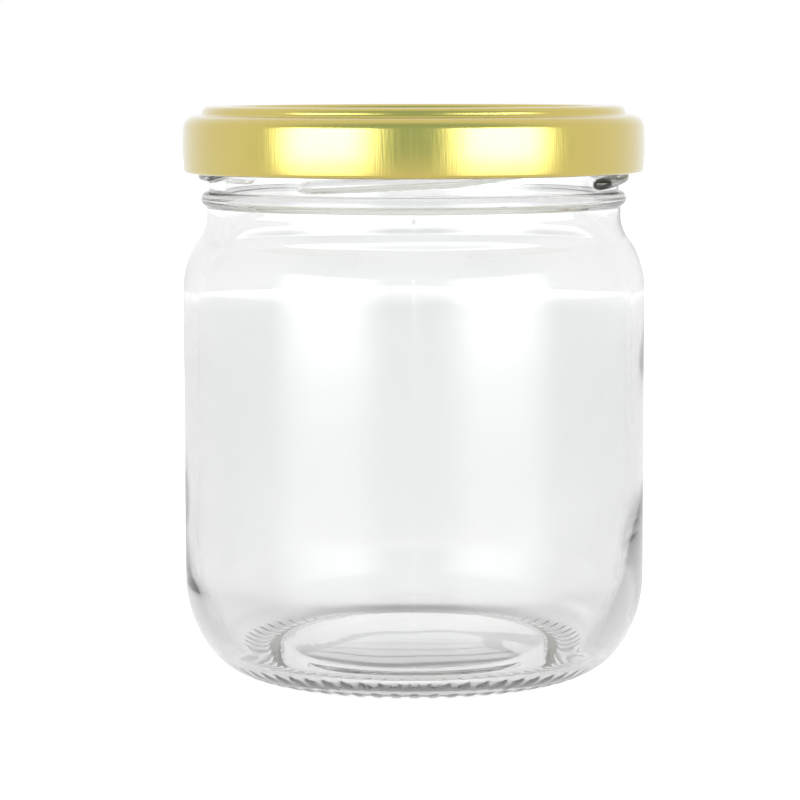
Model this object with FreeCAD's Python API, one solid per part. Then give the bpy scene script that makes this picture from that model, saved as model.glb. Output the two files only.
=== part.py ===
import FreeCAD
import Part
import math
import os

# An empty round glass jar with a pressed tinplate twist-off cap on it.
# Millimetres, +Z up. The origin is on the jar's axis, in the plane it stands on, and -Y is its front.

# Jar body
jar_height = 85.1  # standing plane to sealing rim
body_radius = 35.0
wall = 2.05
heel_radius = 18.0  # arc under the straight wall
foot_radius = 9.85  # tighter arc between the heel and the foot ring
heel_split = 37.3  # degrees below the wall at which the heel arc meets the foot arc
land_width = 0.7  # flat on which the knurl bars stand
base_step_rise = 1.7  # foot ring up to the recessed base
base_step_radius = 1.3
base_dome = 0.9  # further rise of the recessed base to the axis
inner_heel_radius = 18.0  # the same two arcs inside, then a channel around a raised floor
inner_foot_radius = 5.6
inner_heel_split = 35.0
channel_height = 2.9  # lowest line of the inside
floor_rise = 1.0  # channel up to the edge of the floor
floor_step_radius = 4.0
floor_dome = 1.6  # further rise of the floor to the axis

# Knurl on the foot ring
knurl_count = 60
knurl_bar_width = 1.3
knurl_depth = 0.18
knurl_in_sweep = 40.0  # degrees that the bars climb on the ring's inner side
knurl_out_sweep = 27.0  # degrees that they climb on its outer side

# Shoulder and finish, placed down from the rim
shoulder_radius = 12.3  # convex arc above the wall
throat_radius = 5.55  # concave arc below the neck
inner_shoulder_radius = 10.2
inner_throat_radius = 8.0
inner_shoulder_drop = 0.5  # inside shoulder starts this far below the outside one
neck_radius = 31.05
neck_wall = 2.25
collar_step = 0.32  # the neck is this much larger in radius below the bead
collar_height = 2.65  # end of the throat to the middle of the bead
bead_drop = 12.85  # rim to the middle of the bead
bead_stand_out = 1.16
bead_arc = 1.23
rim_outer_radius = 0.9
rim_inner_radius = 0.6

# Four-start thread, each start measured in degrees along from its low end
thread_starts = 4
thread_first = -120.4  # low end of the front start, counter-clockwise from +X
thread_sweep = 100.0
thread_stand_out = 1.55
thread_thickness = 1.74
thread_drop = 10.4  # rim to the middle of the low end
thread_gentle_sweep = 41.0
thread_gentle_slope = 0.028  # mm of rise for each degree
thread_steep_slope = 0.066
thread_end_sweep = 4.0  # rounded run-out at both ends
thread_root = 0.8  # depth to which the thread is sunk in the neck wall

# Tinplate cap
sheet = 0.22
cap_height = 10.0
cap_thread_room = 1.0  # thread crest to the inside of the curl
curl_radius = 0.6
skirt_bow_radius = 47.0  # the skirt bulges slightly
cap_shoulder_radius = 1.9
cap_ledge = 0.35
ring_rise = 1.4  # raised ring above the ledge
ring_outer_convex = 1.0
ring_outer_concave = 0.6
ring_inside_room = 0.25  # the ring's flat reaches this far inside the mouth
panel_recess = 1.25
panel_convex = 0.8
panel_concave = 0.9
lug_count = 4
lug_neck_room = 0.35
lug_thread_room = 0.06  # top of a lug to the underside of the thread over it
lug_thickness = 0.9
lug_plan_radius = 8.0

# Sealing ring in the cap's channel
seal_thickness = 0.83
seal_overlap = 0.35  # past the rim's flat on each side

# Sizes that follow from those above
mouth_radius = neck_radius - neck_wall
collar_radius = neck_radius + collar_step
inner_radius = body_radius - wall
thread_crest = neck_radius + thread_stand_out
bead_height = jar_height - bead_drop
seal_top = jar_height + seal_thickness
cap_top = seal_top + sheet
cap_bottom = cap_top - cap_height
land_outer = (body_radius - heel_radius
              + (heel_radius - foot_radius) * math.cos(math.radians(heel_split)))
land_inner = land_outer - land_width


class Outline:
    """A closed outline in the half plane of radius and height, drawn by lines and tangent arcs."""

    def __init__(self, radius, height, heading=0.0):
        self.here = FreeCAD.Vector(radius, 0, height)
        self.heading = heading
        self.edges = []

    def line_to(self, radius, height):
        there = FreeCAD.Vector(radius, 0, height)
        along = there - self.here
        if along.Length > 1e-6:
            self.edges.append(Part.LineSegment(self.here, there).toShape())
            self.heading = math.degrees(math.atan2(along.z, along.x))
            self.here = there
        return self

    def ahead(self, length):
        angle = math.radians(self.heading)
        return self.line_to(self.here.x + length * math.cos(angle),
                            self.here.z + length * math.sin(angle))

    def arc(self, radius, turn):
        # turns left for a positive angle and right for a negative one, and keeps the tangent
        if abs(turn) > 1e-6:
            side = math.copysign(1.0, turn)
            start = math.radians(self.heading - 90 * side)
            centre = self.here - FreeCAD.Vector(math.cos(start), 0, math.sin(start)) * radius
            middle, there = (
                centre + FreeCAD.Vector(math.cos(a), 0, math.sin(a)) * radius
                for a in (start + math.radians(turn) / 2, start + math.radians(turn)))
            self.edges.append(Part.Arc(self.here, middle, there).toShape())
            self.here = there
            self.heading += turn
        return self

    def arc_through(self, middle, end):
        points = [FreeCAD.Vector(r, 0, z) for r, z in (middle, end)]
        self.edges.append(Part.Arc(self.here, points[0], points[1]).toShape())
        self.here = points[1]
        return self

    def dome(self, radius, height):
        # a shallow spherical cap between a point on the axis and the point given, or the other way
        there = FreeCAD.Vector(radius, 0, height)
        edge = max(self.here.x, radius)
        drop = (self.here.z - height) * (1 if self.here.x < radius else -1)
        ball = (edge ** 2 + drop ** 2) / (2 * drop)
        half = math.asin(edge / ball) / 2
        top = max(self.here.z, height)
        middle = FreeCAD.Vector(ball * math.sin(half), 0, top - ball * (1 - math.cos(half)))
        self.edges.append(Part.Arc(self.here, middle, there).toShape())
        self.here = there
        return self

    def double_arc(self, first, second, shift):
        # steps sideways by shift, to the left if positive, and ends with the heading it began with
        turn = math.copysign(s_turn(first, second, shift), shift)
        return self.arc(first, turn).arc(second, -turn)

    def face(self):
        first = self.edges[0].Vertexes[0].Point
        self.line_to(first.x, first.z)
        return Part.Face(Part.Wire(self.edges))


def s_turn(first, second, shift):
    """Angle that each arc of a double arc turns to move it sideways by shift."""
    return math.degrees(math.acos(1 - abs(shift) / (first + second)))


def s_length(first, second, shift):
    """How far ahead a double arc reaches."""
    return (first + second) * math.sin(math.radians(s_turn(first, second, shift)))


def turned(face):
    return face.revolve(FreeCAD.Vector(0, 0, 0), FreeCAD.Vector(0, 0, 1), 360)


def around(shape, angle):
    copy = shape.copy()
    copy.rotate(FreeCAD.Vector(0, 0, 0), FreeCAD.Vector(0, 0, 1), angle)
    return copy


def jar_blank():
    throat_top = bead_height - collar_height
    shoulder_start = throat_top - s_length(shoulder_radius, throat_radius, body_radius - collar_radius)
    inner_start = shoulder_start - inner_shoulder_drop
    inner_top = inner_start + s_length(inner_shoulder_radius, inner_throat_radius,
                                       inner_radius - mouth_radius)
    step_width = s_length(base_step_radius, base_step_radius, base_step_rise)
    recess_edge = land_inner - step_width
    collar_in_bead = math.sqrt(bead_arc ** 2 - (bead_arc - bead_stand_out + collar_step) ** 2)
    neck_in_bead = math.sqrt(bead_arc ** 2 - (bead_arc - bead_stand_out) ** 2)
    split = math.radians(inner_heel_split)
    inner_heel_top = (channel_height + inner_foot_radius * (1 - math.sin(split))
                      + inner_heel_radius * math.sin(split))

    o = Outline(0, base_step_rise + base_dome)
    o.dome(recess_edge, base_step_rise)
    o.double_arc(base_step_radius, base_step_radius, -base_step_rise)
    o.line_to(land_outer, 0)
    o.arc(foot_radius, 90 - heel_split).arc(heel_radius, heel_split)
    o.line_to(body_radius, shoulder_start)
    o.double_arc(shoulder_radius, throat_radius, body_radius - collar_radius)
    o.line_to(collar_radius, bead_height - collar_in_bead)
    o.arc_through((neck_radius + bead_stand_out, bead_height), (neck_radius, bead_height + neck_in_bead))
    o.line_to(neck_radius, jar_height - rim_outer_radius)
    o.arc(rim_outer_radius, 90)
    o.line_to(mouth_radius + rim_inner_radius, jar_height)
    o.arc(rim_inner_radius, 90)
    o.line_to(mouth_radius, inner_top)
    o.double_arc(inner_throat_radius, inner_shoulder_radius, inner_radius - mouth_radius)
    o.line_to(inner_radius, inner_heel_top)
    o.arc(inner_heel_radius, -inner_heel_split).arc(inner_foot_radius, inner_heel_split - 90)
    o.double_arc(floor_step_radius, floor_step_radius, -floor_rise)
    o.dome(0, channel_height + floor_rise + floor_dome)
    return turned(o.face())


def knurl_grooves():
    # the gaps between the bars: a band sunk into the foot ring, less the bars themselves
    inner_start = math.radians(knurl_in_sweep)
    inner_arc = base_step_radius - knurl_depth
    o = Outline(land_inner - inner_arc * math.sin(inner_start),
                base_step_radius - inner_arc * math.cos(inner_start), -knurl_in_sweep)
    inner_edge = o.here.x
    o.arc(inner_arc, knurl_in_sweep)
    o.line_to(land_outer, knurl_depth)
    o.arc(foot_radius - knurl_depth, knurl_out_sweep)
    outer_edge = o.here.x
    below = -1.0
    o.line_to(outer_edge, below)
    o.line_to(inner_edge, below)
    band = turned(o.face())
    reach = outer_edge + knurl_bar_width
    bar = Part.makeBox(reach, knurl_bar_width, foot_radius, FreeCAD.Vector(0, -knurl_bar_width / 2, 2 * below))
    core = Part.makeCylinder(inner_edge - knurl_bar_width, foot_radius, FreeCAD.Vector(0, 0, 2 * below))
    bars = [around(bar.cut(core), 360.0 * i / knurl_count) for i in range(knurl_count)]
    return band.cut(Part.makeCompound(bars))


def thread_middle(along):
    gentle = min(along, thread_gentle_sweep) * thread_gentle_slope
    steep = max(along - thread_gentle_sweep, 0) * thread_steep_slope
    return jar_height - thread_drop + gentle + steep


def thread_section(along):
    # rounded bar section in the plane at this angle, smaller in the run-out at each end
    to_end = min(along, thread_sweep - along, thread_end_sweep) / thread_end_sweep
    share = math.sqrt(1 - (1 - to_end) ** 2)
    half = thread_thickness / 2 * (0.35 + 0.65 * share)
    crest = neck_radius + thread_stand_out * share
    shoulder = max(crest - half, neck_radius - thread_root / 2)
    root = neck_radius - thread_root
    middle = thread_middle(along)
    corners = [FreeCAD.Vector(root, 0, middle - half), FreeCAD.Vector(shoulder, 0, middle - half),
               FreeCAD.Vector(shoulder, 0, middle + half), FreeCAD.Vector(root, 0, middle + half)]
    nose = Part.Arc(corners[1], FreeCAD.Vector(crest, 0, middle), corners[2]).toShape()
    wire = Part.Wire([Part.LineSegment(corners[0], corners[1]).toShape(), nose,
                      Part.LineSegment(corners[2], corners[3]).toShape(),
                      Part.LineSegment(corners[3], corners[0]).toShape()])
    return around(wire, along)


def thread_start():
    tip = [0.15, 0.45, 0.8]
    stations = [thread_end_sweep * t for t in tip]
    even = 16
    span = thread_sweep - 2 * thread_end_sweep
    stations += [thread_end_sweep + span * i / even for i in range(even + 1)]
    stations += [thread_sweep - thread_end_sweep * t for t in reversed(tip)]
    return Part.makeLoft([thread_section(s) for s in stations], True, True)


def jar():
    shape = jar_blank().cut(knurl_grooves())
    start = around(thread_start(), thread_first)
    step = 360.0 / thread_starts
    return shape.fuse([around(start, i * step) for i in range(thread_starts)])


def cap_path(depth):
    """The cap's outside surface from the axis to the end of the curl, moved inwards by depth."""
    lean = skirt_lean()
    skirt_radius = thread_crest + cap_thread_room + 2 * curl_radius
    ledge_end = skirt_radius - cap_shoulder_radius * math.cos(math.radians(lean))
    ring_edge = ledge_end - cap_ledge - s_length(ring_outer_convex, ring_outer_concave, ring_rise)
    ring_inner_edge = mouth_radius - ring_inside_room
    panel_edge = ring_inner_edge - s_length(panel_concave, panel_convex, panel_recess)

    o = Outline(0, cap_top - panel_recess - depth)
    o.line_to(panel_edge, o.here.z)
    panel_turn = s_turn(panel_concave, panel_convex, panel_recess)
    o.arc(panel_concave + depth, panel_turn).arc(panel_convex - depth, -panel_turn)
    o.ahead(ring_edge - ring_inner_edge)
    ring_turn = s_turn(ring_outer_convex, ring_outer_concave, ring_rise)
    o.arc(ring_outer_convex - depth, -ring_turn).arc(ring_outer_concave + depth, ring_turn)
    o.ahead(cap_ledge)
    o.arc(cap_shoulder_radius - depth, lean - 90)
    o.arc(skirt_bow_radius - depth, -2 * lean)
    o.arc(curl_radius - depth, -270)
    return o


def skirt_lean():
    """Degrees by which the bowed skirt leans out at its top and in at its foot."""
    straight = cap_height - ring_rise - cap_shoulder_radius - curl_radius
    chord = straight / (1 - (cap_shoulder_radius + curl_radius) / (2 * skirt_bow_radius))
    return math.degrees(math.asin(chord / (2 * skirt_bow_radius)))


def cap_shell():
    outside, inside = cap_path(0), cap_path(sheet)
    joints = [Part.LineSegment(outside.here, inside.here).toShape(),
              Part.LineSegment(inside.edges[0].Vertexes[0].Point,
                               outside.edges[0].Vertexes[0].Point).toShape()]
    edges = Part.sortEdges(outside.edges + inside.edges + joints)[0]
    return turned(Part.Face(Part.Wire(edges)))


def lug_along():
    """Degrees along a thread start to the middle of the lug, whose near end is as high as it can go."""
    nearest = cap_bottom + curl_radius + lug_thickness / 2 + lug_thread_room + thread_thickness / 2
    steep_rise = nearest - thread_middle(thread_gentle_sweep)
    slope = thread_steep_slope if steep_rise > 0 else thread_gentle_slope
    tip = neck_radius + lug_neck_room
    half_width = math.sqrt(lug_plan_radius ** 2 - (tip + lug_plan_radius - thread_crest) ** 2)
    return thread_gentle_sweep + steep_rise / slope + math.degrees(math.asin(half_width / thread_crest))


def lug():
    # the curl pressed in to a flat tab with a rounded nose, which hooks under a thread
    tip = neck_radius + lug_neck_room
    root = thread_crest + cap_thread_room + curl_radius
    middle = cap_bottom + curl_radius
    half = lug_thickness / 2
    o = Outline(root, middle + half, 180)
    o.ahead(root - tip - half)
    o.arc(half, 180)
    o.line_to(root, middle - half)
    ring = turned(o.face())
    plan = Part.makeCylinder(lug_plan_radius, 2 * lug_thickness,
                             FreeCAD.Vector(tip + lug_plan_radius, 0, middle - lug_thickness))
    return ring.common(plan)


def cap():
    first = around(lug(), thread_first + lug_along())
    step = 360.0 / lug_count
    return cap_shell().fuse([around(first, i * step) for i in range(lug_count)])


def seal_ring():
    inner = mouth_radius + rim_inner_radius - seal_overlap
    outer = neck_radius - rim_outer_radius + seal_overlap
    o = Outline(inner, jar_height)
    o.line_to(outer, jar_height)
    o.line_to(outer, seal_top)
    o.line_to(inner, seal_top)
    return turned(o.face())


os.makedirs("parts", exist_ok=True)
for node, shape in (("jar", jar()), ("cap", cap()), ("seal_ring", seal_ring())):
    if not shape.isValid() or len(shape.Solids) != 1:
        raise ValueError(f"{node} isn't one valid solid")
    shape.Solids[0].exportStep(f"parts/{node}.step")
    print(node, round(shape.Volume / 1000, 2), "cm3")
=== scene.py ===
import math
import bpy
import numpy as np
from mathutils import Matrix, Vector, noise


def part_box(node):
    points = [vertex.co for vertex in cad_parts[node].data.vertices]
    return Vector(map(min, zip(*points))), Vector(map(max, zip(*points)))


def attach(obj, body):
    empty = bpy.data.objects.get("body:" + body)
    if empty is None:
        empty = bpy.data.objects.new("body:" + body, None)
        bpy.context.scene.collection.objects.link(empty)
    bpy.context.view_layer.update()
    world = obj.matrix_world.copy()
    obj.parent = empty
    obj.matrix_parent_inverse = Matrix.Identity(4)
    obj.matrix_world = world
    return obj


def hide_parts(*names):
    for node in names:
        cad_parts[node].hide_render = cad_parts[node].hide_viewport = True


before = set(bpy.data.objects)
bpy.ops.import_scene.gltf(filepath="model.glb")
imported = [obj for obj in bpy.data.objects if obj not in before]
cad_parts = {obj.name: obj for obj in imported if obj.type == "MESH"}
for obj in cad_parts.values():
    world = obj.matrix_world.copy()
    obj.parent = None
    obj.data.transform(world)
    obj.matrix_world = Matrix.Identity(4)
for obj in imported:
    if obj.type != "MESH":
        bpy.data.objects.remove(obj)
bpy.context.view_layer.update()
mm = 0.001

# every height hangs from the frame's own boxes
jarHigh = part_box("jar")[1]
capLow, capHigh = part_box("cap")
sealLow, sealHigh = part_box("seal_ring")
bodyRadius = jarHigh.x / mm
rimHeight = jarHigh.z / mm
capTop = capHigh.z / mm
capFoot = capLow.z / mm
print("frame: body radius", round(bodyRadius, 2), "rim", round(rimHeight, 2), "cap top", round(capTop, 2))


# a pen walks through radius and height in mm, with the solid on its left
def startOutline(radius, height, heading=0.0, zone=""):
    return {"points": [(radius, height)], "zones": [zone], "heading": heading, "zone": zone}


def addPoint(outline, radius, height):
    outline["points"].append((radius, height))
    outline["zones"].append(outline["zone"])


def lineTo(outline, radius, height, steps=1):
    r, z = outline["points"][-1]
    outline["heading"] = math.degrees(math.atan2(height - z, radius - r))
    for i in range(1, steps + 1):
        addPoint(outline, r + (radius - r) * i / steps, z + (height - z) * i / steps)


def ahead(outline, length, steps=1):
    r, z = outline["points"][-1]
    h = math.radians(outline["heading"])
    lineTo(outline, r + length * math.cos(h), z + length * math.sin(h), steps)


def arc(outline, radius, turn, steps):  # left for a positive turn, right for a negative one
    r, z = outline["points"][-1]
    side = math.copysign(1.0, turn)
    start = math.radians(outline["heading"] - 90 * side)
    centreR, centreZ = r - radius * math.cos(start), z - radius * math.sin(start)
    for i in range(1, steps + 1):
        a = start + math.radians(turn) * i / steps
        addPoint(outline, centreR + radius * math.cos(a), centreZ + radius * math.sin(a))
    outline["heading"] += turn


def doubleTurn(first, second, shift):
    return math.degrees(math.acos(1 - abs(shift) / (first + second)))


def doubleLength(first, second, shift):
    return (first + second) * math.sin(math.radians(doubleTurn(first, second, shift)))


def doubleArc(outline, first, second, shift, steps):
    # steps sideways by shift, to the left if positive, and ends with the heading it began with
    turn = math.copysign(doubleTurn(first, second, shift), shift)
    arc(outline, first, turn, steps)
    arc(outline, second, -turn, steps)


def dome(outline, radius, height, steps):  # a spherical cap that starts or ends on the axis
    r, z = outline["points"][-1]
    edge = max(r, radius)
    rise = (z - height) if r < radius else (height - z)
    ball = (edge ** 2 + rise ** 2) / (2 * rise)
    top = max(z, height)
    span = math.asin(edge / ball)
    for i in range(1, steps + 1):
        t = i / steps if r < radius else 1 - i / steps
        addPoint(outline, ball * math.sin(span * t), top - ball * (1 - math.cos(span * t)))
    outline["heading"] = 0.0 if r < radius else 180.0


def smooth(t):
    t = np.clip(t, 0, 1)
    return t * t * (3 - 2 * t)


# turns an outline into one closed mesh, ring by ring; relief pushes a zone out, in mm
def lathe(name, outline, angles, fineZones=(), relief=None, closed=False, secondSlot=()):
    points = np.array(outline["points"])
    along = np.roll(points, -1, 0) - np.roll(points, 1, 0)
    if not closed:
        along[0], along[-1] = points[1] - points[0], points[-1] - points[-2]
    along /= np.linalg.norm(along, axis=1)[:, None]
    between = (angles + np.append(angles[1:], angles[0] + 2 * math.pi)) / 2
    fine = np.sort(np.concatenate([angles, between]))
    vertices, rings, faces, faceZones = [], [], [], []
    for (r, z), (dr, dz), zone in zip(points, along, outline["zones"]):
        if r < 1e-6:  # a single point on the axis
            rings.append([len(vertices)])
            vertices.append((0, 0, z * mm))
            continue
        a = fine if zone in fineZones else angles
        out = relief(zone, a, r, z) if relief else np.zeros(len(a))
        ringR, ringZ = r + dz * out, z - dr * out
        rings.append(list(range(len(vertices), len(vertices) + len(a))))
        vertices.extend(np.stack([ringR * np.cos(a), ringR * np.sin(a), ringZ], 1) * mm)
    pairs = list(zip(rings, rings[1:] + ([rings[0]] if closed else [])))
    for (low, high), zone in zip(pairs, outline["zones"]):
        n, m = len(low), len(high)
        if n == 1 or m == 1:
            rim = high if n == 1 else low
            for i in range(len(rim)):
                j = (i + 1) % len(rim)
                faces.append((low[0], rim[j], rim[i]) if n == 1 else (high[0], rim[i], rim[j]))
        elif n == m:
            faces.extend((low[i], low[(i + 1) % n], high[(i + 1) % n], high[i]) for i in range(n))
        else:  # one ring has twice the points of the other
            coarse, dense = (low, high) if n < m else (high, low)
            for i in range(len(coarse)):
                c0, c1 = coarse[i], coarse[(i + 1) % len(coarse)]
                d0, d1, d2 = dense[2 * i], dense[2 * i + 1], dense[(2 * i + 2) % len(dense)]
                fan = [(c0, d1, d0), (c0, c1, d1), (c1, d2, d1)]
                faces.extend(fan if n < m else [f[::-1] for f in fan])
        faceZones.extend([zone] * (len(faces) - len(faceZones)))
    mesh = bpy.data.meshes.new(name)
    mesh.from_pydata([tuple(v) for v in vertices], [], faces)
    mesh.shade_smooth()
    for face, zone in zip(mesh.polygons, faceZones):
        face.material_index = int(zone in secondSlot)
    piece = bpy.data.objects.new(name, mesh)
    bpy.context.scene.collection.objects.link(piece)
    print("made", name, len(mesh.vertices), "points", len(mesh.polygons), "faces")
    return piece


# glass jar, in mm and degrees
glass = {
    "wall": 2.05, "heelRadius": 18.0, "footRadius": 9.85, "heelSplit": 37.3,
    "landWidth": 0.7, "baseStepRise": 1.7, "baseStepRadius": 1.3, "baseDome": 0.9,
    "innerHeelRadius": 18.0, "innerHeelSplit": 35.0, "innerFootRadius": 5.6, "channelHeight": 2.9,
    "floorRise": 1.0, "floorStepRadius": 4.0, "floorDome": 1.6,
    "shoulderRadius": 12.3, "throatRadius": 5.55, "innerShoulderRadius": 10.2,
    "innerThroatRadius": 8.0, "innerShoulderDrop": 0.5,
    "neckRadius": 31.05, "neckWall": 2.25, "collarStep": 0.32, "collarHeight": 2.65,
    "beadDrop": 12.85, "beadStandOut": 1.16, "beadArc": 1.23,
    "rimOuterRadius": 0.9, "rimInnerRadius": 0.6,
    "segments": 288, "edge": 0.15,  # edge: a close ring beside the bead keeps its corners crisp
}
thread = {
    "starts": 4, "first": -120.4, "sweep": 100.0, "standOut": 1.55, "thickness": 1.74, "drop": 10.4,
    "gentleSweep": 41.0, "gentleSlope": 0.028, "steepSlope": 0.066, "endSweep": 4.0,
    "endThickness": 0.35, "flankPower": 2.6, "crestPower": 0.6,
    "seenTo": 0.8, "coveredTo": 5.2,  # heights over the foot of the cap, drawn in finer rings up to seenTo
}
knurl = {"count": 60, "barWidth": 1.3, "depth": 0.18, "flank": 0.35, "inSweep": 40.0, "outSweep": 27.0}
# mould parting line, front and back
seam = {"height": 0.05, "halfWidth": 0.25, "beside": (0.15, 0.35, 0.6)}
# the glass settled thicker low on both sides
thickSides = {"both": 1.0, "right": 0.2, "top": 25.0, "topRight": 5.0, "fade": 0.85, "foot": 4.0}
waviness = {
    "inside": 0.06, "insideScale": 14.0, "insideSeed": 3.1,
    "outside": 0.005, "outsideScale": 18.0, "outsideSeed": 5.7,
    "floor": 0.035, "floorScale": 9.0, "floorSeed": 9.4, "floorCalm": 4.0,
}


def jarOutline():
    g = glass
    heelIn = (g["heelRadius"] - g["footRadius"]) * math.cos(math.radians(g["heelSplit"]))
    landOuter = bodyRadius - g["heelRadius"] + heelIn
    landInner = landOuter - g["landWidth"]
    neck, collar, inner = g["neckRadius"], g["neckRadius"] + g["collarStep"], bodyRadius - g["wall"]
    mouth = neck - g["neckWall"]
    bead = rimHeight - g["beadDrop"]
    throatTop = bead - g["collarHeight"]
    shoulderStart = throatTop - doubleLength(g["shoulderRadius"], g["throatRadius"], bodyRadius - collar)
    innerStart = shoulderStart - g["innerShoulderDrop"]
    innerTop = innerStart + doubleLength(g["innerShoulderRadius"], g["innerThroatRadius"], inner - mouth)
    stepTurn = doubleTurn(g["baseStepRadius"], g["baseStepRadius"], g["baseStepRise"])
    recess = landInner - doubleLength(g["baseStepRadius"], g["baseStepRadius"], g["baseStepRise"])
    sink = g["beadArc"] - g["beadStandOut"]
    collarIn = math.sqrt(g["beadArc"] ** 2 - (sink + g["collarStep"]) ** 2)
    neckIn = math.sqrt(g["beadArc"] ** 2 - sink ** 2)

    o = startOutline(0, g["baseStepRise"] + g["baseDome"], zone="base")
    dome(o, recess, g["baseStepRise"], 14)
    arc(o, g["baseStepRadius"], -stepTurn, 5)
    arc(o, g["baseStepRadius"], stepTurn - knurl["inSweep"], 1)
    o["zone"] = "knurl"
    arc(o, g["baseStepRadius"], knurl["inSweep"], 6)
    lineTo(o, landOuter, 0, 3)
    arc(o, g["footRadius"], knurl["outSweep"], 13)
    o["zone"] = "heel"
    arc(o, g["footRadius"], 90 - g["heelSplit"] - knurl["outSweep"], 6)
    arc(o, g["heelRadius"], g["heelSplit"], 14)
    o["zone"] = "wall"
    lineTo(o, bodyRadius, shoulderStart, 14)
    doubleArc(o, g["shoulderRadius"], g["throatRadius"], bodyRadius - collar, 14)
    o["zone"] = "neck"
    lineTo(o, collar, bead - collarIn - g["edge"], 3)
    lineTo(o, collar, bead - collarIn, 1)
    beadCentre = neck + g["beadStandOut"] - g["beadArc"]
    fromAngle, toAngle = -math.asin(collarIn / g["beadArc"]), math.asin(neckIn / g["beadArc"])
    beadSteps = 16
    for i in range(1, beadSteps + 1):
        a = fromAngle + (toAngle - fromAngle) * i / beadSteps
        addPoint(o, beadCentre + g["beadArc"] * math.cos(a), bead + g["beadArc"] * math.sin(a))
    o["zone"] = "thread"
    lineTo(o, neck, bead + neckIn + g["edge"], 1)
    lineTo(o, neck, capFoot + thread["seenTo"], 32)
    lineTo(o, neck, capFoot + thread["coveredTo"], 22)
    lineTo(o, neck, rimHeight - g["rimOuterRadius"], 2)
    o["zone"] = "rim"
    o["heading"] = 90.0
    arc(o, g["rimOuterRadius"], 90, 6)
    lineTo(o, mouth + g["rimInnerRadius"], rimHeight, 1)
    arc(o, g["rimInnerRadius"], 90, 5)
    o["zone"] = "inside"
    lineTo(o, mouth, innerTop, 10)
    doubleArc(o, g["innerThroatRadius"], g["innerShoulderRadius"], inner - mouth, 10)
    split = math.radians(g["innerHeelSplit"])
    heelTop = (g["channelHeight"] + g["innerFootRadius"] * (1 - math.sin(split))
               + g["innerHeelRadius"] * math.sin(split))
    lineTo(o, inner, heelTop, 20)
    arc(o, g["innerHeelRadius"], -g["innerHeelSplit"], 12)
    arc(o, g["innerFootRadius"], g["innerHeelSplit"] - 90, 10)
    o["zone"] = "floor"
    doubleArc(o, g["floorStepRadius"], g["floorStepRadius"], -g["floorRise"], 8)
    dome(o, 0, g["channelHeight"] + g["floorRise"] + g["floorDome"], 18)
    return o


def threadStandOut(a, z):
    t = thread
    out = np.zeros(len(a))
    for start in range(t["starts"]):
        along = (np.degrees(a) - t["first"] - start * 360 / t["starts"]) % 360
        inside = along < t["sweep"]
        middle = (rimHeight - t["drop"] + np.minimum(along, t["gentleSweep"]) * t["gentleSlope"]
                  + np.maximum(along - t["gentleSweep"], 0) * t["steepSlope"])
        toEnd = np.clip(np.minimum(along, t["sweep"] - along) / t["endSweep"], 0, 1)
        share = np.sqrt(1 - (1 - toEnd) ** 2)
        half = t["thickness"] / 2 * (t["endThickness"] + (1 - t["endThickness"]) * share)
        across = np.clip(np.abs(z - middle) / half, 0, 1)
        bump = t["standOut"] * share * (1 - across ** t["flankPower"]) ** t["crestPower"]
        out = np.maximum(out, np.where(inside, bump, 0))
    return out


def knurlSink(a, r):
    # the gaps between the bars are sunk, and run out at both ends of the band
    pitch = 2 * math.pi * r / knurl["count"]
    place = a / (2 * math.pi) * knurl["count"]
    fromBar = np.abs(place - np.round(place)) * pitch
    gap = smooth((fromBar - knurl["barWidth"] / 2 + knurl["flank"]) / (2 * knurl["flank"]))
    return -knurl["depth"] * gap


def wave(side, a, r, z):
    points = np.stack([r * np.cos(a), r * np.sin(a), np.full(len(a), z)], 1) / waviness[side + "Scale"]
    seed = waviness[side + "Seed"]
    return waviness[side] * np.array([noise.noise(Vector((p[0] + seed, p[1], p[2]))) for p in points])


def jarRelief(zone, a, r, z):
    if zone == "knurl":
        return knurlSink(a, r)
    if zone == "thread":
        return threadStandOut(a, z)
    if zone == "inside":
        top = thickSides["top"] + thickSides["topRight"] * np.cos(a)
        fade = smooth((top - z) / (thickSides["fade"] * top))
        low = fade * smooth((z - glass["channelHeight"]) / thickSides["foot"])
        thicker = (thickSides["both"] + thickSides["right"] * np.cos(a)) * np.cos(a) ** 4 * low
        return thicker + wave("inside", a, r, z)
    if zone == "floor":
        return wave("floor", a, r, z) * smooth(r / waviness["floorCalm"])
    if zone in ("wall", "heel"):
        fromSeam = np.minimum(np.abs(a + math.pi / 2), np.abs(a - math.pi / 2)) * r
        line = seam["height"] * (1 - smooth(fromSeam / seam["halfWidth"]))
        return line + wave("outside", a, r, z)
    return np.zeros(len(a))


def segmentAngles():
    even = [-math.pi + 2 * math.pi * i / glass["segments"] for i in range(glass["segments"])]
    # closer steps on both sides of each parting line
    beside = [sign * d for sign in (-1, 1) for d in seam["beside"]]
    extra = [math.radians(side * 90 + d) for side in (-1, 1) for d in beside]
    return np.array(sorted(even + extra))


jarGlass = lathe("jarGlass", jarOutline(), segmentAngles(), fineZones=("knurl",), relief=jarRelief)


# pressed cap, in mm and degrees
cap = {
    "sheet": 0.22, "threadRoom": 1.0, "curlRadius": 0.6, "bowRadius": 47.0, "shoulderRadius": 1.9,
    "ledge": 0.35, "ringRise": 1.4, "ringConvex": 1.0, "ringConcave": 0.6, "ringInsideRoom": 0.25,
    "panelRecess": 1.25, "panelConvex": 0.8, "panelConcave": 0.9,
    "curlTurn": 150.0, "curlEndTurn": 120.0,
    "lugs": 4, "lugFirst": -37.6, "lugWidth": 11.0, "lugEdge": 1.2, "lugReach": 2.2, "lugFlat": 0.72,
    "segments": 360,
}
skirtRadius = glass["neckRadius"] + thread["standOut"] + cap["threadRoom"] + 2 * cap["curlRadius"]


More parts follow.
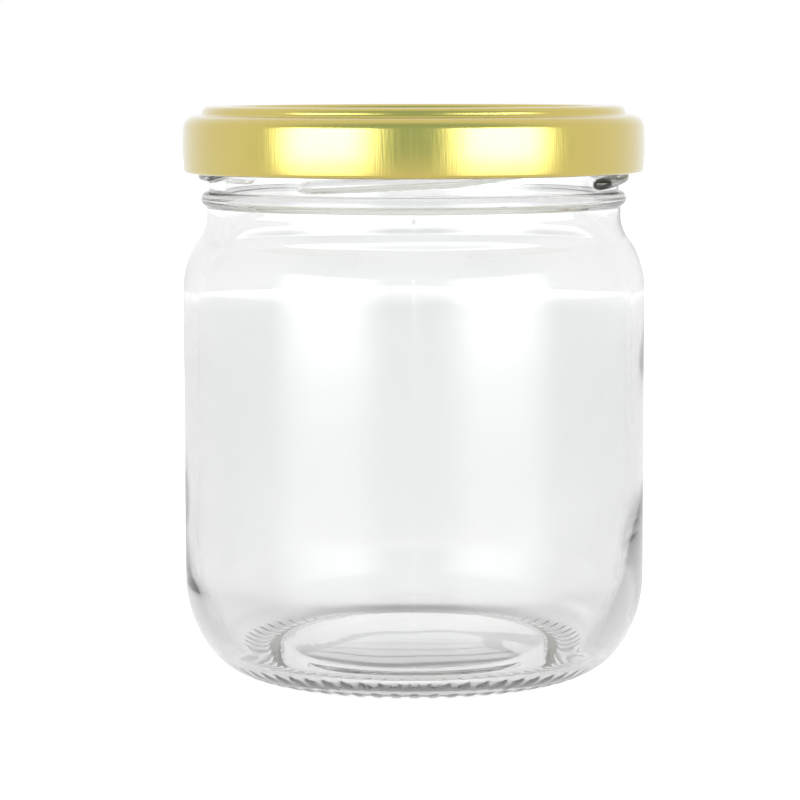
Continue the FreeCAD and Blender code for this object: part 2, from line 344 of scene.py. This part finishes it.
# one face of the sheet, from the middle of the panel to the end of the curl
def capWalk(depth):
    c = cap
    height = capTop - capFoot
    straight = height - c["ringRise"] - c["shoulderRadius"] - c["curlRadius"]
    chord = straight / (1 - (c["shoulderRadius"] + c["curlRadius"]) / (2 * c["bowRadius"]))
    lean = math.degrees(math.asin(chord / (2 * c["bowRadius"])))
    ledgeEnd = skirtRadius - c["shoulderRadius"] * math.cos(math.radians(lean))
    ringEdge = ledgeEnd - c["ledge"] - doubleLength(c["ringConvex"], c["ringConcave"], c["ringRise"])
    ringInner = glass["neckRadius"] - glass["neckWall"] - c["ringInsideRoom"]
    panelTurn = doubleTurn(c["panelConcave"], c["panelConvex"], c["panelRecess"])
    panelEdge = ringInner - doubleLength(c["panelConcave"], c["panelConvex"], c["panelRecess"])
    ringTurn = doubleTurn(c["ringConvex"], c["ringConcave"], c["ringRise"])
    side = "out" if depth == 0 else "in"
    o = startOutline(0, capTop - c["panelRecess"] - depth, zone=side + "Panel")
    lineTo(o, panelEdge, capTop - c["panelRecess"] - depth, 12)
    arc(o, c["panelConcave"] + depth, panelTurn, 7)
    arc(o, c["panelConvex"] - depth, -panelTurn, 7)
    ahead(o, ringEdge - ringInner, 3)
    arc(o, c["ringConvex"] - depth, -ringTurn, 8)
    arc(o, c["ringConcave"] + depth, ringTurn, 6)
    ahead(o, c["ledge"], 1)
    arc(o, c["shoulderRadius"] - depth, lean - 90, 12)
    o["zone"] = side + "Skirt"
    arc(o, c["bowRadius"] - depth, -2 * lean, 12)
    o["zone"] = side + "Curl"
    arc(o, c["curlRadius"] - depth, -c["curlTurn"], 9)
    o["zone"] = side + "CurlEnd"
    arc(o, c["curlRadius"] - depth, -c["curlEndTurn"], 7)
    return o


def capOutline():
    outside, inside = capWalk(0), capWalk(cap["sheet"])
    outside["points"] += inside["points"][::-1]
    outside["zones"] += inside["zones"][::-1]
    return outside


def evenAngles(count):
    return np.linspace(-math.pi, math.pi, count, endpoint=False)


def pressLugs(shell):
    # the inner half of the curl is pressed in and flatter at each lug
    c = cap
    for point in shell.data.vertices:
        r, z = math.hypot(point.co.x, point.co.y) / mm, point.co.z / mm - capFoot
        inward = float(smooth((skirtRadius - 0.5 * c["curlRadius"] - r) / c["curlRadius"]))
        if z > 2 * c["curlRadius"] or inward == 0:
            continue
        turn = math.degrees(math.atan2(point.co.y, point.co.x)) - c["lugFirst"]
        pitch = 360 / c["lugs"]
        fromLug = abs((turn + pitch / 2) % pitch - pitch / 2) * math.radians(r)
        press = inward * float(smooth((c["lugWidth"] / 2 + c["lugEdge"] - fromLug) / (2 * c["lugEdge"])))
        factor = 1 - press * c["lugReach"] / r
        point.co.x, point.co.y = point.co.x * factor, point.co.y * factor
        point.co.z = (capFoot + z * (1 - press * (1 - c["lugFlat"]))) * mm


capShell = lathe("capShell", capOutline(), evenAngles(cap["segments"]),
                 secondSlot=("inPanel", "inSkirt", "outCurlEnd"))
pressLugs(capShell)


# sealing ring, cast in the channel of the cap
seal = {"inner": 29.05, "segments": 180}


def sealOutline():
    low, high = sealLow.z / mm, sealHigh.z / mm
    inner, outer = seal["inner"], sealHigh.x / mm
    o = startOutline(inner, low)
    lineTo(o, outer, low, 2)
    lineTo(o, outer, high, 2)
    lineTo(o, inner, high, 2)
    addPoint(o, inner, (low + high) / 2)
    return o


sealRing = lathe("sealRing", sealOutline(), evenAngles(seal["segments"]), closed=True)


def linearColour(hexColour, alpha=1.0):
    parts = [int(hexColour[i:i + 2], 16) / 255 for i in (1, 3, 5)]
    return [c / 12.92 if c <= 0.04045 else ((c + 0.055) / 1.055) ** 2.4 for c in parts] + [alpha]


def addNode(tree, kind, settings=None, links=None, **options):
    node = tree.nodes.new(kind)
    for name, value in options.items():
        setattr(node, name, value)
    for name, value in (settings or {}).items():
        node.inputs[name].default_value = value
    for name, source in (links or {}).items():
        tree.links.new(source, node.inputs[name])
    return node


def newMaterial(name):
    material = bpy.data.materials.new(name)
    material.use_nodes = True
    material.node_tree.nodes.clear()
    return material, material.node_tree


glassLook = {
    "tint": "#ffffff", "ior": 1.52, "absorb": "#c8c9c8", "density": 23.0,
    "ripple": 9.0, "rippleHeight": 0.004,
    # share of the lamps' light that passes
    "lampStraight": 0.95, "lampGrazing": 0.05, "grazeFrom": 0.6, "grazeTo": 1.0,
    "lampHeel": 0.45, "heelIn": 22, "heelOut": 26, "heelLow": 10, "heelHigh": 18,
}


def makeGlass():
    # clear pressed glass: bright, grey only in its depth, with a skin that is not quite even
    look = glassLook
    material, tree = newMaterial("sodaLimeGlass")
    place = addNode(tree, "ShaderNodeTexCoord")
    ripple = addNode(tree, "ShaderNodeTexNoise", {"Scale": 1 / (look["ripple"] * mm), "Detail": 1.0},
                     {"Vector": place.outputs["Object"]})
    skin = addNode(tree, "ShaderNodeBump", {"Strength": 1.0, "Distance": look["rippleHeight"] * mm},
                   {"Height": ripple.outputs[0]})
    clear = addNode(tree, "ShaderNodeBsdfPrincipled", {
        "Base Color": linearColour(look["tint"]), "Roughness": 0.0, "IOR": look["ior"],
        "Transmission Weight": 1.0}, {"Normal": skin.outputs[0]})
    # lamps pass straight through, less of them where they graze the surface or meet the curved heel
    path = addNode(tree, "ShaderNodeLightPath")
    facing = addNode(tree, "ShaderNodeLayerWeight", {"Blend": 0.5})
    straight = addNode(tree, "ShaderNodeMapRange", {
        1: look["grazeFrom"], 2: look["grazeTo"], 3: look["lampStraight"], 4: look["lampGrazing"]},
        {0: facing.outputs["Facing"]})
    flat = addNode(tree, "ShaderNodeVectorMath", {1: (1, 1, 0)}, {0: place.outputs["Object"]},
                   operation="MULTIPLY")
    radius = addNode(tree, "ShaderNodeVectorMath", links={0: flat.outputs[0]}, operation="LENGTH")
    outside = addNode(tree, "ShaderNodeMapRange", {1: look["heelIn"] * mm, 2: look["heelOut"] * mm},
                      {0: radius.outputs["Value"]}, interpolation_type="SMOOTHSTEP")
    split = addNode(tree, "ShaderNodeSeparateXYZ", links={0: place.outputs["Object"]})
    low = addNode(tree, "ShaderNodeMapRange", {
        1: look["heelLow"] * mm, 2: look["heelHigh"] * mm, 3: 1.0, 4: 0.0},
        {0: split.outputs["Z"]}, interpolation_type="SMOOTHSTEP")
    heel = addNode(tree, "ShaderNodeMath", links={0: outside.outputs[0], 1: low.outputs[0]},
                   operation="MULTIPLY")
    bent = addNode(tree, "ShaderNodeMapRange", {3: 1.0, 4: look["lampHeel"]}, {0: heel.outputs[0]})
    passed = addNode(tree, "ShaderNodeMath", links={0: straight.outputs[0], 1: bent.outputs[0]},
                     operation="MULTIPLY")
    through = addNode(tree, "ShaderNodeBsdfTransparent", links={"Color": passed.outputs[0]})
    soft = addNode(tree, "ShaderNodeMath", links={
        0: path.outputs["Is Shadow Ray"], 1: path.outputs["Is Diffuse Ray"]}, operation="MAXIMUM")
    mix = addNode(tree, "ShaderNodeMixShader", links={
        0: soft.outputs[0], 1: clear.outputs[0], 2: through.outputs[0]})
    absorb = addNode(tree, "ShaderNodeVolumeAbsorption", {
        "Color": linearColour(look["absorb"]), "Density": look["density"]})
    addNode(tree, "ShaderNodeOutputMaterial", links={"Surface": mix.outputs[0], "Volume": absorb.outputs[0]})
    return material


goldLook = {
    "gold": "#d5c468", "goldDeep": "#ccb658", "cloud": 16.0, "roughness": 0.17, "roughSpread": 0.09,
    "drawWidth": 0.35, "drawLength": 7.0, "drawHeight": 0.016, "coat": 1.0, "coatRoughness": 0.12,
    "topFrom": 0.5, "topTo": 0.9,  # upward part of the normal over which draw marks give way to streaks
}


def makeGold():
    # satin gold lacquer on rolled and pressed steel: upright draw marks on the skirt, roll streaks on the top
    look = goldLook
    material, tree = newMaterial("goldLacquer")
    place = addNode(tree, "ShaderNodeTexCoord")
    fine, long = 1 / (look["drawWidth"] * mm), 1 / (look["drawLength"] * mm)
    upright = addNode(tree, "ShaderNodeMapping", {"Scale": (fine, fine, long)},
                      {"Vector": place.outputs["Object"]})
    rolled = addNode(tree, "ShaderNodeMapping", {"Scale": (long, fine, fine)},
                     {"Vector": place.outputs["Object"]})
    drawn, streaks = [
        addNode(tree, "ShaderNodeTexNoise", {"Scale": 1.0, "Detail": 3.0}, {"Vector": stretched.outputs[0]})
        for stretched in (upright, rolled)]
    normal = addNode(tree, "ShaderNodeNewGeometry")
    tilt = addNode(tree, "ShaderNodeSeparateXYZ", links={0: normal.outputs["Normal"]})
    flat = addNode(tree, "ShaderNodeMapRange", {1: look["topFrom"], 2: look["topTo"]}, {0: tilt.outputs["Z"]})
    marks = addNode(tree, "ShaderNodeMix", links={
        0: flat.outputs[0], 2: drawn.outputs[0], 3: streaks.outputs[0]})
    clouds = addNode(tree, "ShaderNodeTexNoise", {"Scale": 1 / (look["cloud"] * mm), "Detail": 4.0},
                     {"Vector": place.outputs["Object"]})
    colour = addNode(tree, "ShaderNodeMix", {
        6: linearColour(look["gold"]), 7: linearColour(look["goldDeep"])},
        {0: clouds.outputs[0]}, data_type="RGBA")
    rough = addNode(tree, "ShaderNodeMapRange", {
        1: 0.25, 2: 0.75, 3: look["roughness"], 4: look["roughness"] + look["roughSpread"]},
        {0: marks.outputs[0]})
    skin = addNode(tree, "ShaderNodeBump", {"Strength": 1.0, "Distance": look["drawHeight"] * mm},
                   {"Height": marks.outputs[0]})
    gold = addNode(tree, "ShaderNodeBsdfPrincipled", {
        "Metallic": 1.0, "Coat Weight": look["coat"], "Coat Roughness": look["coatRoughness"]}, {
        "Base Color": colour.outputs[2], "Roughness": rough.outputs[0], "Normal": skin.outputs[0]})
    addNode(tree, "ShaderNodeOutputMaterial", links={"Surface": gold.outputs[0]})
    return material


liningLook = {
    "pale": "#f4f4ee", "shade": "#ebebe4", "cloud": 7.0, "roughFrom": 0.34, "roughTo": 0.48, "paintedCapGlow": 0.14,
}


def makeLining():
    # warm white lacquer rolled on inside the cap, a little uneven in tone and gloss, with a painted glow
    look = liningLook
    material, tree = newMaterial("paleLacquer")
    place = addNode(tree, "ShaderNodeTexCoord")
    clouds = addNode(tree, "ShaderNodeTexNoise", {"Scale": 1 / (look["cloud"] * mm), "Detail": 3.0},
                     {"Vector": place.outputs["Object"]})
    colour = addNode(tree, "ShaderNodeMix", {6: linearColour(look["pale"]), 7: linearColour(look["shade"])},
                     {0: clouds.outputs[0]}, data_type="RGBA")
    rough = addNode(tree, "ShaderNodeMapRange", {
        1: 0.3, 2: 0.7, 3: look["roughFrom"], 4: look["roughTo"]}, {0: clouds.outputs[0]})
    # painted light: the lacquer glows weakly for the light that the neck of the glass throws up into the cap;
    # a glow of 0 turns it off
    lining = addNode(tree, "ShaderNodeBsdfPrincipled", {"Emission Strength": look["paintedCapGlow"]}, {
        "Base Color": colour.outputs[2], "Emission Color": colour.outputs[2], "Roughness": rough.outputs[0]})
    addNode(tree, "ShaderNodeOutputMaterial", links={"Surface": lining.outputs[0]})
    return material


compoundLook = {
    "cream": "#dcd8c8", "creamDark": "#d1ccb9", "cloud": 3.0,
    "grain": 0.25, "grainHeight": 0.02, "roughness": 0.5,
}


def makeCompound():
    # cast cream plastisol: matt, with a fine dimpled skin
    look = compoundLook
    material, tree = newMaterial("plastisol")
    place = addNode(tree, "ShaderNodeTexCoord")
    clouds = addNode(tree, "ShaderNodeTexNoise", {"Scale": 1 / (look["cloud"] * mm), "Detail": 2.0},
                     {"Vector": place.outputs["Object"]})
    grain = addNode(tree, "ShaderNodeTexNoise", {"Scale": 1 / (look["grain"] * mm), "Detail": 2.0},
                    {"Vector": place.outputs["Object"]})
    colour = addNode(tree, "ShaderNodeMix", {
        6: linearColour(look["cream"]), 7: linearColour(look["creamDark"])},
        {0: clouds.outputs[0]}, data_type="RGBA")
    skin = addNode(tree, "ShaderNodeBump", {"Strength": 1.0, "Distance": look["grainHeight"] * mm},
                   {"Height": grain.outputs[0]})
    soft = addNode(tree, "ShaderNodeBsdfPrincipled", {"Roughness": look["roughness"]}, {
        "Base Color": colour.outputs[2], "Normal": skin.outputs[0]})
    addNode(tree, "ShaderNodeOutputMaterial", links={"Surface": soft.outputs[0]})
    return material


for piece, node, slotName, finishes in (
        (jarGlass, "jar", "clear_glass", [makeGlass()]),
        (capShell, "cap", "gold_lacquer", [makeGold(), makeLining()]),
        (sealRing, "seal_ring", "sealing_compound", [makeCompound()])):
    for material in finishes:
        piece.data.materials.append(material)
    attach(piece, "root")
    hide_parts(node)
print("materials done")


# lengths in mm and angles in degrees, apart from the floor in metres; glows are strengths, where 1 is white
studio = {
    "cameraDistance": 479.3, "cameraHeight": 90.86, "lens": 142.0, "sensor": 36.0,
    "cameraPitch": 5.89, "cameraYaw": 0.243, "cameraRoll": 0.12,
    # painted light on the floor: a glow that rises with distance from the jar, and a pool of light under the
    # jar
    "floor": "#fafafa", "floorSize": 6.0, "floorLift": 0.55, "paintedGlowFar": 0.69, "glowFrom": 150, "glowTo": 1500,
    "paintedPoolUnder": 0.3, "underFrom": 16, "underTo": 42,
    "lampWidth": 260, "lampHeight": 260, "lampDistance": 700, "lampLift": 28, "lampPower": 3.3,
    # what is all round, by the Y and Z of the direction
    "room": "#b5cdd0", "backdrop": "#fafafa", "backdropFrom": -0.5, "backdropTo": 0.05,
    "table": "#f2f2f2", "tableLow": -0.14, "tableHigh": -0.03, "ambient": 0.25,
    "boxTurn": 44.5, "boxWidth": 44.0, "boxEdge": 11.0, "boxGlow": 5.5, "boxThrough": 1.2,
    # degrees above the horizon and share of the glow
    "boxProfile": ((-29, 0.0), (-16, 0.27), (-5.5, 0.27), (-3, 1.0), (24, 1.0), (28, 0.0)),
    "bounces": 32, "mirrorBounces": 16,  # thick curved glass passes light on many times
}


def makeCamera():
    s = studio
    camera = bpy.data.objects.new("camera", bpy.data.cameras.new("camera"))
    bpy.context.scene.collection.objects.link(camera)
    camera.data.lens = s["lens"]
    camera.data.sensor_width = s["sensor"]
    camera.data.clip_start = 0.01
    camera.location = (0, -s["cameraDistance"] * mm, s["cameraHeight"] * mm)
    angles = (90 - s["cameraPitch"], s["cameraRoll"], s["cameraYaw"])
    camera.rotation_euler = [math.radians(angle) for angle in angles]
    bpy.context.scene.camera = camera


def makeFloor():
    s = studio
    half = s["floorSize"] / 2
    mesh = bpy.data.meshes.new("floor")
    corners = [(-half, -half, 0), (half, -half, 0), (half, half, 0), (-half, half, 0)]
    mesh.from_pydata(corners, [], [(0, 1, 2, 3)])
    floor = bpy.data.objects.new("floor", mesh)
    bpy.context.scene.collection.objects.link(floor)
    material, tree = newMaterial("paleTable")
    # matt white table with painted light: a glow that grows towards the backdrop and a painted pool of light
    # under the jar; for the camera it runs out into plain white
    pale = addNode(tree, "ShaderNodeBsdfDiffuse", {"Color": linearColour(s["floor"])})
    path = addNode(tree, "ShaderNodeLightPath")
    place = addNode(tree, "ShaderNodeTexCoord")
    away = addNode(tree, "ShaderNodeVectorMath", links={0: place.outputs["Object"]}, operation="LENGTH")
    # painted light: the table glows more the further it lies from the jar
    paintedDistantGlow = addNode(tree, "ShaderNodeMapRange", {1: s["glowFrom"] * mm, 2: s["glowTo"] * mm, 4: s["paintedGlowFar"]},
                  {0: away.outputs["Value"]})
    # painted pool of light on the table under the jar, standing in for the light that the base of the glass
    # gathers there
    paintedPool = addNode(tree, "ShaderNodeMapRange", {
        1: s["underFrom"] * mm, 2: s["underTo"] * mm, 3: s["paintedPoolUnder"], 4: 0.0}, {0: away.outputs["Value"]},
        interpolation_type="SMOOTHSTEP")
    paintedFloorLight = addNode(tree, "ShaderNodeMath", links={0: paintedDistantGlow.outputs[0], 1: paintedPool.outputs[0]}, operation="ADD")
    lift = addNode(tree, "ShaderNodeMath", {1: s["floorLift"]},
                   {0: path.outputs["Is Camera Ray"], 2: paintedFloorLight.outputs[0]}, operation="MULTIPLY_ADD")
    glow = addNode(tree, "ShaderNodeEmission", {"Color": (1, 1, 1, 1)}, {"Strength": lift.outputs[0]})
    both = addNode(tree, "ShaderNodeAddShader", links={0: pale.outputs[0], 1: glow.outputs[0]})
    addNode(tree, "ShaderNodeOutputMaterial", links={"Surface": both.outputs[0]})
    mesh.materials.append(material)
    floor.visible_glossy = False


def makeLamps():
    s = studio
    for side in (-1, 1):
        lamp = bpy.data.lights.new("softbox", "AREA")
        lamp.shape = "RECTANGLE"
        lamp.size, lamp.size_y = s["lampWidth"] * mm, s["lampHeight"] * mm
        lamp.energy = s["lampPower"]
        box = bpy.data.objects.new("softbox", lamp)
        bpy.context.scene.collection.objects.link(box)
        turn, lift = math.radians(s["boxTurn"]), math.radians(s["lampLift"])
        flat = math.cos(lift)
        away = Vector((side * math.sin(turn) * flat, -math.cos(turn) * flat, math.sin(lift)))
        box.location = away * s["lampDistance"] * mm
        box.rotation_euler = away.to_track_quat("Z", "Y").to_euler()
        box.visible_camera = box.visible_glossy = box.visible_transmission = False


def makeWorld():
    # glass and metal show a dim room in front, a white backdrop behind, a bright table and two softboxes
    s = studio
    world = bpy.data.worlds.new("studioWorld")
    bpy.context.scene.world = world
    world.use_nodes = True
    tree = world.node_tree
    tree.nodes.clear()
    path = addNode(tree, "ShaderNodeLightPath")
    way = addNode(tree, "ShaderNodeTexCoord")
    axes = addNode(tree, "ShaderNodeSeparateXYZ", links={0: way.outputs["Generated"]})
    behind = addNode(tree, "ShaderNodeMapRange", {1: s["backdropFrom"], 2: s["backdropTo"]},
                     {0: axes.outputs["Y"]}, interpolation_type="SMOOTHSTEP")
    below = addNode(tree, "ShaderNodeMapRange", {1: s["tableLow"], 2: s["tableHigh"], 3: 1.0, 4: 0.0},
                    {0: axes.outputs["Z"]}, interpolation_type="SMOOTHSTEP")
    near = addNode(tree, "ShaderNodeMix", {6: linearColour(s["room"]), 7: linearColour(s["table"])},
                   {0: below.outputs[0]}, data_type="RGBA")
    around = addNode(tree, "ShaderNodeMix", {7: linearColour(s["backdrop"])},
                     {0: behind.outputs[0], 6: near.outputs[2]}, data_type="RGBA")

    # one softbox on each side, by the turn from straight ahead and the height above the horizon
    front = addNode(tree, "ShaderNodeMath", {1: -1.0}, {0: axes.outputs["Y"]}, operation="MULTIPLY")
    turn = addNode(tree, "ShaderNodeMath", links={0: axes.outputs["X"], 1: front.outputs[0]},
                   operation="ARCTAN2")
    eitherSide = addNode(tree, "ShaderNodeMath", links={0: turn.outputs[0]}, operation="ABSOLUTE")
    offBox = addNode(tree, "ShaderNodeMath", {1: math.radians(s["boxTurn"])}, {0: eitherSide.outputs[0]},
                     operation="SUBTRACT")
    offset = addNode(tree, "ShaderNodeMath", links={0: offBox.outputs[0]}, operation="ABSOLUTE")
    half, edge = math.radians(s["boxWidth"] / 2), math.radians(s["boxEdge"])
    across = addNode(tree, "ShaderNodeMapRange", {1: half - edge, 2: half + edge, 3: 1.0, 4: 0.0},
                     {0: offset.outputs[0]}, interpolation_type="SMOOTHSTEP")
    height = addNode(tree, "ShaderNodeMath", {1: 0.5}, {0: axes.outputs["Z"]}, operation="ADD")
    upright = addNode(tree, "ShaderNodeValToRGB", links={0: height.outputs[0]})
    stops = [(0.5 + math.sin(math.radians(lift)), (share, share, share, 1))
             for lift, share in s["boxProfile"]]
    for element, (position, glow) in zip(upright.color_ramp.elements, (stops[0], stops[-1])):
        element.position, element.color = position, glow
    for position, glow in stops[1:-1]:
        upright.color_ramp.elements.new(position).color = glow
    shape = addNode(tree, "ShaderNodeMath", links={0: across.outputs[0], 1: upright.outputs[0]},
                    operation="MULTIPLY")
    strength = addNode(tree, "ShaderNodeMapRange", {3: s["boxGlow"], 4: s["boxThrough"]},
                       {0: path.outputs["Is Transmission Ray"]})
    boxGlow = addNode(tree, "ShaderNodeMath", links={0: shape.outputs[0], 1: strength.outputs[0]},
                      operation="MULTIPLY")

    # the camera sees plain white, and matt surfaces an even ambient light
    surroundings = addNode(tree, "ShaderNodeBackground", links={0: around.outputs[2]})
    softboxes = addNode(tree, "ShaderNodeBackground", {0: (1, 1, 1, 1)}, {1: boxGlow.outputs[0]})
    mirrored = addNode(tree, "ShaderNodeAddShader", links={
        0: surroundings.outputs[0], 1: softboxes.outputs[0]})
    white = addNode(tree, "ShaderNodeBackground", {0: (1, 1, 1, 1), 1: 1.0})
    ambient = addNode(tree, "ShaderNodeBackground", {0: (1, 1, 1, 1), 1: s["ambient"]})
    first = addNode(tree, "ShaderNodeMixShader", links={
        0: path.outputs["Is Diffuse Ray"], 1: mirrored.outputs[0], 2: ambient.outputs[0]})
    second = addNode(tree, "ShaderNodeMixShader", links={
        0: path.outputs["Is Camera Ray"], 1: first.outputs[0], 2: white.outputs[0]})
    addNode(tree, "ShaderNodeOutputWorld", links={"Surface": second.outputs[0]})


makeCamera()
makeFloor()
makeLamps()
makeWorld()
scene = bpy.context.scene
scene.view_settings.view_transform = "Standard"
scene.cycles.max_bounces = studio["bounces"]
scene.cycles.glossy_bounces = studio["mirrorBounces"]
scene.cycles.transmission_bounces = studio["bounces"]
scene.cycles.transparent_max_bounces = studio["bounces"]

print("studio done")
